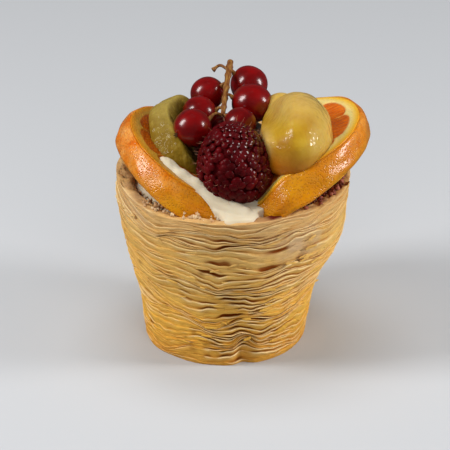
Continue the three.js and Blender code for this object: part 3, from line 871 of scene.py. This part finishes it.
def orange_outline(slice_):
    """The half moon's outline as points (u, v) in its own plane, an arc, then the straight cut back, and
    which of them are on the arc."""
    start, end = slice_["arc"]
    arc = np.linspace(start, end, int(ORANGE_POINTS * 0.7))
    curved = slice_["radius"] * np.stack([np.cos(arc), np.sin(arc)], -1)
    share = np.linspace(0, 1, ORANGE_POINTS - len(arc) + 2)[1:-1, None]
    straight = curved[-1] * (1 - share) + curved[0] * share
    return np.concatenate([curved, straight]), np.arange(ORANGE_POINTS) < len(arc)


def orange_flesh(spread, turn, rind, phase):
    """The flesh, which is 1 inside the pith, the walls between its segments, and its relief: segments and
    juice sacs that swell from a sunk face. A place is given by its distance from the round's middle, its
    angle there and its depth in from the peel."""
    segment = 2 * np.abs((turn * ORANGE_SEGMENTS / TURN + phase) % 1 - 0.5)
    flesh = ease(0, 0.5, rind - ORANGE_PITH - 1.7 * segment ** 4)
    wall = ease(0.93, 0.99, segment) * flesh
    sacs = np.sin(turn * 70 + 2 * np.sin(spread)) * np.sin(spread * 1.6 + 3 * segment)
    relief = SEGMENT_SWELL * (1 - segment ** 2) + SAC_SWELL * sacs - FLESH_SUNK
    return flesh, wall, relief * flesh


def orange_tip(slice_, flat, depth):
    """How far points near the front tip come forward, by the reach of the lower side and the way out of the
    tip's end, and how far they are at that end, from 0 to 1."""
    tip = np.clip((TIP_START - flat[..., 1]) / (slice_["radius"] + TIP_START), 0, None) ** 2
    end = ease(*slice_["end"], flat[..., 0]) ** 1.6 * ease(TIP_START, TIP_START - 8, flat[..., 1])
    reach = tip * slice_["reach"] * depth * (1 - 0.7 * end)
    return reach + slice_["out"] * end * (1 - 0.6 * depth), end


def orange_half(slice_):
    """A half slice as rings of its outline: shrunk towards the middle across the upper face, dropped down
    the side with rounded edges and soft waves, and shrunk again below. Segments swell between their walls
    on the upper face. The side may flare towards the upper face in front, the front tip reaches over the
    rim below and may dip, and the straight cut stays upright."""
    outline, on_arc = orange_outline(slice_)
    radius, thickness = slice_["radius"], slice_["thickness"]
    middle = 0.42 * radius * unit(outline[on_arc.sum() // 2])
    across = np.concatenate([np.linspace(0.02, 0.97, 46), np.linspace(0.985, 1, 2)])
    down = np.linspace(0, 1, 30)[1:-1]
    under = across[::-3]
    size = np.concatenate([across, np.ones(len(down)), under])[:, None]
    depth = np.concatenate([0 * across, down, 0 * under + 1])[:, None]
    side = (depth > 0) & (depth < 1)
    edge = np.where(side, 0, bell(size, 1, 0.03))

    from_half = np.abs(2 * depth - 1)
    swell = PEEL_SWELL * (1 - from_half ** 2) - PEEL_ROUND * from_half ** 8
    swell = np.where(side, swell, -PEEL_ROUND * edge) * on_arc
    waves = PEEL_WAVES * field_noise(slice_["wave_seed"], swell.shape, 6, 12)
    swell = swell + waves * on_arc * (side | (edge > 0.1))
    flat = middle + (outline - middle) * size[..., None] + swell[..., None] * unit(outline)
    level = -depth * thickness + np.where(depth < 0.5, -0.5, 0.5) * edge + 0 * swell

    spread = np.linalg.norm(flat, axis=-1)
    turn = np.arctan2(flat[..., 1], flat[..., 0])
    rind = np.where(side & on_arc, 0, np.maximum(radius - spread, 0))
    flesh, wall, relief = orange_flesh(spread, turn, rind, 0.37 * slice_["wave_seed"])
    level = level + relief * (depth == 0)

    flare = slice_["flare"] * bell(turn, FLARE_TURN, 0.6) * (1 - depth) * size
    flat = flat + flare[..., None] * unit(outline)
    lean = slice_["facing"][0] / slice_["facing"][2]
    cut_side = 1 - ease(0, 0.6 * radius, np.abs(flat @ unit(middle)))
    flat[..., 0] += lean * depth * thickness * cut_side
    forward, end = orange_tip(slice_, flat, depth)
    flat[..., 1] -= forward
    local = np.concatenate([flat, level[..., None]], -1)
    points = local @ placement(slice_["facing"]) + slice_["centre"]
    points[..., 2] -= slice_["drop"] * end
    return points, {"rind": rind, "ray": turn * spread, "flesh": flesh, "wall": wall}


def add_oranges():
    """Adds both half slices. The peel is redder at the raised outer end, and lighter there with a painted
    sheen.
    """
    for side, slice_ in ORANGES.items():
        points, values = orange_half(slice_)
        values["blush"] = slice_["blush"] * ease(0, 13, points[..., 2] - slice_["blush_from"])
        colours = (slice_[key] for key in ("flesh", "pith", "wall"))
        material = make_material(glazed_orange, *colours, name=f"glazed_orange_{side}")
        add_piece(f"orange_half_{side}", shell(points, **values), material, f"orange_slice_{side}")


def above(points, slice_):
    """How far points lie above an orange's upper face, and the direction square off that face."""
    facing = unit(np.asarray(slice_["facing"], float))
    return (points - slice_["centre"]) @ facing, facing


def rest_on(points, slice_, sunk):
    """Points lifted square off an orange's upper face wherever they would sink deeper into it."""
    height, facing = above(points, slice_)
    return points + np.maximum(0, -sunk - height)[..., None] * facing


# Kiwi and peach

def add_kiwi():
    """Adds the kiwi: rings out across one face, over the rounded side and in across the other. The radius
    swells in six soft bumps."""
    angle = full_turn(180)
    out = np.linspace(0.03, 1, 22)
    over = np.linspace(0, math.pi, 26)[1:-1]
    radius, half = KIWI["radius"], KIWI["thickness"] / 2
    face = radius - KIWI["round"]
    bulge = np.sin(over) ** 0.65
    sweep = np.sign(np.cos(over)) * np.abs(np.cos(over)) ** 0.65
    spread = np.concatenate([face * out, radius - KIWI["round"] * (1 - bulge), face * out[::-1]])[:, None]
    level = np.concatenate([0 * out + 1, sweep, 0 * out - 1])[:, None]
    bumps = 0.025 * np.sin(6 * angle + 0.8) + 0.008 * field_noise(41, (2, len(angle)), 2, 12)[0]
    reach = spread * (1 + bumps * (spread / radius) ** 2)
    reach = reach + 0.05 * field_noise(42, reach.shape, 12, 20) * (spread > 0.8 * radius)
    local = np.stack([reach * np.cos(angle), reach * np.sin(angle), half * level + 0 * reach], -1)
    near = ease(1, 13, -local[..., 1])
    right = near * (0.6 + 0.4 * level)
    drawn = np.stack([right, near, right], -1) * KIWI["drawn"]
    points = local @ placement(KIWI["facing"]) + KIWI["centre"] + drawn
    points = rest_on(points, ORANGES["left"], KIWI["sunk"])
    core = spread / face + ease(face, radius, spread) + 0 * reach
    # Paler towards the top of the side: painted light.
    bleached = 0.6 * ease(63, 70, points[..., 2]) * ease(0.7, 1.3, core)
    skin = shell(points, core=core, bleached=bleached)
    add_piece("kiwi_round", skin, make_material(kiwi_flesh), "kiwi_slice")


def add_kiwi_seeds():
    """Adds black seeds in a ring on each cut face, each a ball stretched outwards, where they are clear of
    the orange."""
    rng = np.random.default_rng(43)
    number = np.arange(KIWI_SEEDS["count"])
    angle = number * TURN / len(number) + rng.normal(0, 0.05, len(number))
    away = rng.uniform(*KIWI_SEEDS["away"], len(number))[:, None]
    face = np.where(number % 2, 1, -1)[:, None]
    outward, sideways = level_spokes(angle)
    middles = away * outward + face * (KIWI["thickness"] / 2 + 0.05) * UP
    seeds = many_balls(middles, (outward, sideways, UP + 0 * outward), ball(5, 8) * KIWI_SEEDS["semi"])
    seeds = seeds @ placement(KIWI["facing"]) + KIWI["centre"]
    height, _ = above(seeds.mean((1, 2)), ORANGES["left"])
    material = make_material(dry_bits, "#140f0a", "#2a2014", name="kiwi_seed_coat")
    add_piece("kiwi_seeds", shell(seeds[height > 0.5]), material)


def add_peach():
    """Adds the peach piece: a ball stretched to the dome, with soft lumps, its upper left pressed back by a
    currant, and a small lobe behind. It is whitish at the top and the sides, wettest on the right and
    darker low down with painted shade."""
    direction = ball(120, 170)
    x, y, z = np.moveaxis(direction, -1, 0)
    fade = np.sin(np.linspace(0, math.pi, len(x)))[:, None]
    lumps = 0.010 * field_noise(51, x.shape, 7, 6) * fade
    upper = 0.9 * z + 0.45 * y
    pressed = ease(0.1, 1, -x) * ease(-0.1, 0.7, upper)
    reach = 1 + lumps - 0.06 * ease(0.2, 0.9, x)
    dome = PEACH["centre"] + direction * PEACH["semi"] * reach[..., None]
    dome = dome + pressed[..., None] * PEACH_PRESSED
    dome[..., 0] -= 1.5 * ease(0.2, 0.8, -x) * ease(0.0, 0.6, -z)
    dome[..., 1] -= 1.5 * ease(0.2, 0.8, -y) * ease(0.1, 0.7, -z)
    flap = ease(0.55, 0.85, -x) * bell(upper, -0.1, 0.3)
    edge = 0.6 * ease(0.0, 0.9, x) * ease(-0.4, 0.3, z)
    veil = np.maximum.reduce([0.75 * ease(0.4, 1.0, z + 0.25 * y), flap, edge])
    # Darker towards the bottom: painted shade.
    ripe = ease(0.45, -0.45, z + 0.2 * x)
    wet = 0.35 + 0.6 * ease(-0.1, 0.5, x)
    lobe = PEACH_LOBE["centre"] + ball(40, 60) * PEACH_LOBE["semi"]
    plain = 0 * lobe[..., 0]
    dome, lobe = (rest_on(points, ORANGES["right"], PEACH_SUNK) for points in (dome, lobe))
    dome_skin = shell(dome, veil=veil, ripe=ripe, wet=wet)
    lobe_skin = shell(lobe, veil=plain + 0.6, ripe=plain, wet=plain + 0.12)
    flesh = make_material(poached_peach)
    add_piece("peach_flesh", join([dome_skin, lobe_skin]), flesh, "peach_piece")


# Raspberry

def raspberry_places():
    """Middles and outward directions of the drupelets: spread evenly by the golden angle from tip to foot,
    each moved a little, on a ball stretched to the fruit and narrower at the tip."""
    rng = np.random.default_rng(61)
    number = np.arange(DRUPELETS["count"])
    tilt = np.arccos(1 - 1.9 * (number + 0.5) / len(number)) + rng.normal(0, 0.03, len(number))
    angle = number * TURN * GOLDEN_SHARE + rng.normal(0, 0.05, len(number))
    width = (1 - RASPBERRY["narrowing"] * np.cos(tilt)) * np.sin(tilt)
    skin = np.stack([width * np.cos(angle), width * np.sin(angle), np.cos(tilt)], -1)
    semi = np.array(RASPBERRY["semi"])
    return skin * semi * 0.965, unit(skin / semi)


def raspberry_turned(points):
    """Points of the upright raspberry leaned to the left and moved to its place."""
    lean = RASPBERRY["lean"]
    turn = np.array([[math.cos(lean), 0, math.sin(lean)], [0, 1, 0], [-math.sin(lean), 0, math.cos(lean)]])
    return points @ turn + RASPBERRY["centre"]


def add_hairs(middles, axes, rng):
    """Adds a fine tapering hair to some of the drupelets: straight out, then bent aside by the square of the
    way along it."""
    chosen = rng.permutation(len(middles))[:HAIRS["count"]]
    bend = rng.normal(0, HAIRS["bend"], (len(chosen), 1, 2))
    step = np.linspace(0, 1, 6)[:, None]
    level, upright, outward = (axis[chosen][:, None] for axis in axes)
    paths = middles[chosen][:, None] + (0.7 + HAIRS["length"] * step) * outward
    paths = paths + (bend[..., :1] * level + bend[..., 1:] * upright) * step ** 2
    widths = HAIRS["width"] * (1 - 0.8 * step[:, 0])
    hairs = spikes(paths, level[:, 0], upright[:, 0], widths, 4)
    material = make_material(dry_bits, "#8a4a34", "#c99a78", name="raspberry_hair")
    add_piece("raspberry_hairs", shell(raspberry_turned(hairs)), material)


def add_raspberry():
    """Adds the raspberry: a ball for each drupelet, flattened along its outward direction, over a plain
    core, and the hairs."""
    middles, outward = raspberry_places()
    rng = np.random.default_rng(62)
    size = rng.normal(1, 0.08, len(middles)) - 0.22 * middles[:, 2] / RASPBERRY["semi"][2]
    stretched = ball(5, 9) * DRUPELETS["semi"] * size[:, None, None, None]
    level = unit(np.cross(outward, (0.3, 0.2, 1)))
    axes = (level, np.cross(outward, level), outward)
    drupelets = many_balls(middles, axes, stretched)
    wet = 0.1 + 0.9 * ease(0.1, 0.75, 0.9 * outward[:, 0] + 0.5 * outward[:, 2])
    wet = wet[:, None, None] + 0 * drupelets[..., 0]
    core = 0.9 * ball(16, 24)
    core[..., :2] *= 1 - RASPBERRY["narrowing"] * ball(16, 24)[..., 2:]
    core = core * RASPBERRY["semi"]
    skins = shell(raspberry_turned(drupelets), wet=wet)
    heart = shell(raspberry_turned(core), wet=0 * core[..., 0])
    material = make_material(raspberry_drupelets)
    add_piece("raspberry_drupelets", join([skins, heart]), material, "raspberry")
    add_hairs(middles, axes, rng)


# Redcurrants

def currants():
    """The name, middle and radius of each currant, from the box of its node, and the stem's nearest point
    to it."""
    spine = path_points(STEM_PATH, 60)
    for name in CURRANT_NODES:
        low, high = (np.array(corner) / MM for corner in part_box(name))
        middle = (low + high) / 2
        root = spine[np.linalg.norm(spine - middle, axis=1).argmin()]
        yield name, middle, (high - low).max() / 2, root


def flower_end(radius):
    """A small tuft of pointed petals that spread below a currant whose stalk is up."""
    out, across = level_spokes(full_turn(PETALS["count"]))
    step = np.linspace(0, 1, 4)[:, None]
    down = radius * CURRANT_SLIM + PETALS["length"] * step
    paths = out[:, None] * (0.35 + 0.3 * step) - down * UP
    return spikes(paths, across, 0.4 * UP[None], PETALS["width"] * (1 - 0.75 * step[:, 0]), 5)


def add_currants():
    """Adds each currant, a ball a little drawn out towards its stalk, with veins from end to end, and the
    dried flower ends on the far side from the stalk."""
    skin = make_material(currant_skin)
    tufts = []
    for number, (name, middle, radius, root) in enumerate(currants()):
        turned = placement(unit(root - middle) + np.array((1e-3, 0, 0)))
        direction = ball(40, 56)
        wobble = 1 + 0.012 * field_noise(70 + number, (40, 56), 3, 3)
        points = (radius * wobble)[..., None] * direction * (CURRANT_SLIM, CURRANT_SLIM, 1.0)
        angle = np.arctan2(direction[..., 1], direction[..., 0])
        vein = ease(0.9, 1.0, np.cos(CURRANT_VEINS * angle)) * (1 - direction[..., 2] ** 4) * 0.45
        add_piece(f"{name}_berry", shell(points @ turned + middle, vein=vein), skin, name)
        tufts.append(shell(flower_end(radius) @ turned + middle))
    add_piece("currant_flower_ends", join(tufts), make_material(dried_calyx))


def add_stem():
    """Adds the stem: a tapering tube with swollen joints, the hooked twig, and a bent stalk to each currant
    that widens where it meets the fruit."""
    spine, twig = path_points(STEM_PATH, 60), path_points(TWIG_PATH, 24)
    share = np.linspace(0, 1, len(spine))
    joints = sum(bell(share, place, 0.03) for place in STEM_JOINTS)
    shapes = [shell(tube(spine, STEM_RADIUS - STEM_TAPER * share + 0.25 * joints, 12))]
    branches = [(twig, 0.15)]
    for _, middle, radius, root in currants():
        end = middle + unit(root - middle) * (radius - 0.15)
        bow = 0.25 * np.linalg.norm(end - root) * UP
        branches.append((path_points([root, (root + end) / 2 + bow, end], 16), 0.25))
    for path, knob in branches:
        radii = STALK_RADIUS + KNOB_SWELL * bell(np.linspace(0, 1, len(path)), 1, knob)
        shapes.append(shell(tube(path, radii, 10)))
    add_piece("currant_stalks", join(shapes), make_material(woody_stem), "currant_stem")


# Cream

def between_tips(x, y):
    """How far a place at the front lies between the tips of the oranges: 1 inside, eased to 0 at both sides
    and behind."""
    left = x - np.interp(y, LEFT_TIP_Y, LEFT_TIP_X)
    right = x - RIGHT_TIP["x"] - RIGHT_TIP["slope"] * (y - RIGHT_TIP["y"]) - 0.35 * np.sin(1.7 * y)
    return ease(0, 1.2, left) * ease(0, -1.6, right) * ease(-18, -22, y)


def cream_fold(x, y):
    """Height of the fold, a round ridge along its path that falls away beside it, and how many of its widths
    a place lies from the path."""
    fold = path_points(CREAM_FOLD, 60)
    away = np.hypot(x[..., None] - fold[:, 0], y[..., None] - fold[:, 1])
    nearest = away.argmin(-1)
    width = np.linspace(*CREAM_FOLD_RADII, len(fold))[nearest]
    away = away.min(-1) / width
    ridge = fold[nearest, 2] - 0.6 + 0.8 * width * np.sqrt(np.clip(1 - away ** 2, 0, 1))
    ridge = ridge - 30 * ease(0.98, 1.9, away) + 0.2 * np.sin(1.1 * x - 0.8 * y) * ease(-4, -8, x)
    return ridge, away


def add_cream():
    """Adds the cream: rings from the wall up over a mound with swells, an apron that slopes down to the rim
    between the tips of the oranges, and a fold along the left one. The skin is the highest of them, with
    the low strokes of a spoon."""
    shape = (110, 300)
    angle = full_turn(shape[1])[None]
    front = ease(0.30, 0.12, np.abs(turn_from(angle, 0.1)))
    radius = np.linspace(1, 0.01, shape[0])[:, None] * (CREAM_REACH["round"] + CREAM_REACH["front"] * front)
    x, y = radius * np.cos(angle) + CUP_LEAN, radius * np.sin(angle)
    mound = CREAM_EDGE + CREAM_RISE * (1 - (radius / CREAM_RADIUS) ** 2)
    for centre_x, centre_y, spread, rise in CREAM_SWELLS:
        mound = mound + rise * np.exp(-0.5 * ((x - centre_x) ** 2 + (y - centre_y) ** 2) / spread ** 2)
    mound = mound + 2.2 * around(angle, -0.62, 0.14) * ease(22, 28, radius)
    apron = CREAM_APRON["height"] + CREAM_APRON["slope"] * (CREAM_APRON["radius"] - radius)
    apron = apron - CREAM_APRON["sides_drop"] * (1 - between_tips(x, y)) - 0.8 * ease(30.8, 31.8, radius)
    ridge, away = cream_fold(x, y)
    strokes = 0.1 * np.sin(1.3 * y + 0.5 * x + 1.2 * np.sin(0.3 * x))
    height = np.maximum.reduce([mound, apron, ridge]) + strokes + 0.06 * field_noise(81, shape, 18, 14)
    skin = np.stack([x, y, height], -1)
    foot = skin[:1] * (CREAM_FOOT["share"], CREAM_FOOT["share"], 0) + CREAM_FOOT["height"] * UP
    # A juice red patch under the currants and raspberry, clear of the fold: painted shade between the fruit.
    stain = np.linalg.norm((skin[..., :2] - PAINTED_SHADE_PATCH["centre"]) / PAINTED_SHADE_PATCH["semi"], axis=-1)
    juice = ease(1.3, 0.7, stain) * (1.1 + 0.1 * field_noise(82, shape, 14, 10))
    juice = np.clip(juice, 0, 1) * ease(1.0, 1.6, away)
    cream = shell(np.concatenate([foot, skin]), juice=np.concatenate([juice[:1], juice]))
    add_piece("cream_mound", cream, make_material(folded_cream), "cream")


# Floor, light and camera

def add_floor():
    """Adds a wide flat floor under the base."""
    reach = FLOOR_REACH * MM
    corners = [(-reach, -reach, 0), (reach, -reach, 0), (reach, reach, 0), (-reach, reach, 0)]
    mesh = bpy.data.meshes.new("floor")
    mesh.from_pydata(corners, [], [(0, 1, 2, 3)])
    mesh.materials.append(make_material(studio_paper))
    floor = bpy.data.objects.new("floor", mesh)
    bpy.context.scene.collection.objects.link(floor)
    floor.visible_glossy = False


def add_light(name, place, size, power, glints):
    """Adds a soft light that faces the fruit."""
    lamp = bpy.data.lights.new(name, "AREA")
    lamp.shape = "RECTANGLE"
    lamp.size, lamp.size_y = np.array(size) * MM
    lamp.energy = power
    light = bpy.data.objects.new(name, lamp)
    light.location = np.array(place) * MM
    light.visible_glossy = glints
    back = np.array(place) - LIT_PLACE
    tilt = math.acos(back[2] / np.linalg.norm(back))
    light.rotation_euler = (tilt, 0, math.atan2(back[1], back[0]) + math.pi / 2)
    bpy.context.scene.collection.objects.link(light)


def add_studio():
    """Adds the lights, the pale surround and the camera."""
    for name, settings in LIGHTS.items():
        add_light(name, **settings)
    world = bpy.data.worlds.new("studio")
    world.use_nodes = True
    background = world.node_tree.nodes["Background"]
    background.inputs["Color"].default_value = linear(SURROUND["colour"])
    background.inputs["Strength"].default_value = SURROUND["strength"]
    lens = bpy.data.cameras.new("camera")
    lens.lens = VIEW_LENS
    lens.sensor_width = VIEW_SENSOR
    camera = bpy.data.objects.new("camera", lens)
    back = np.array((0, -math.cos(VIEW_ELEVATION), math.sin(VIEW_ELEVATION)))
    camera.location = (np.array(VIEW_TARGET) + VIEW_DISTANCE * back) * MM
    camera.rotation_euler = (math.pi / 2 - VIEW_ELEVATION, 0, 0)
    bpy.context.scene.collection.objects.link(camera)
    bpy.context.scene.camera = camera
    bpy.context.scene.world = world
    bpy.context.scene.view_settings.view_transform = "Standard"


add_studio()
add_floor()
pastry_finish = make_material(baked_puff_pastry)
add_pastry(pastry_finish)
add_cream()
add_oranges()
add_kiwi()
add_kiwi_seeds()
add_peach()
add_raspberry()
add_currants()
add_stem()
add_flakes(pastry_finish)
add_crumbs()
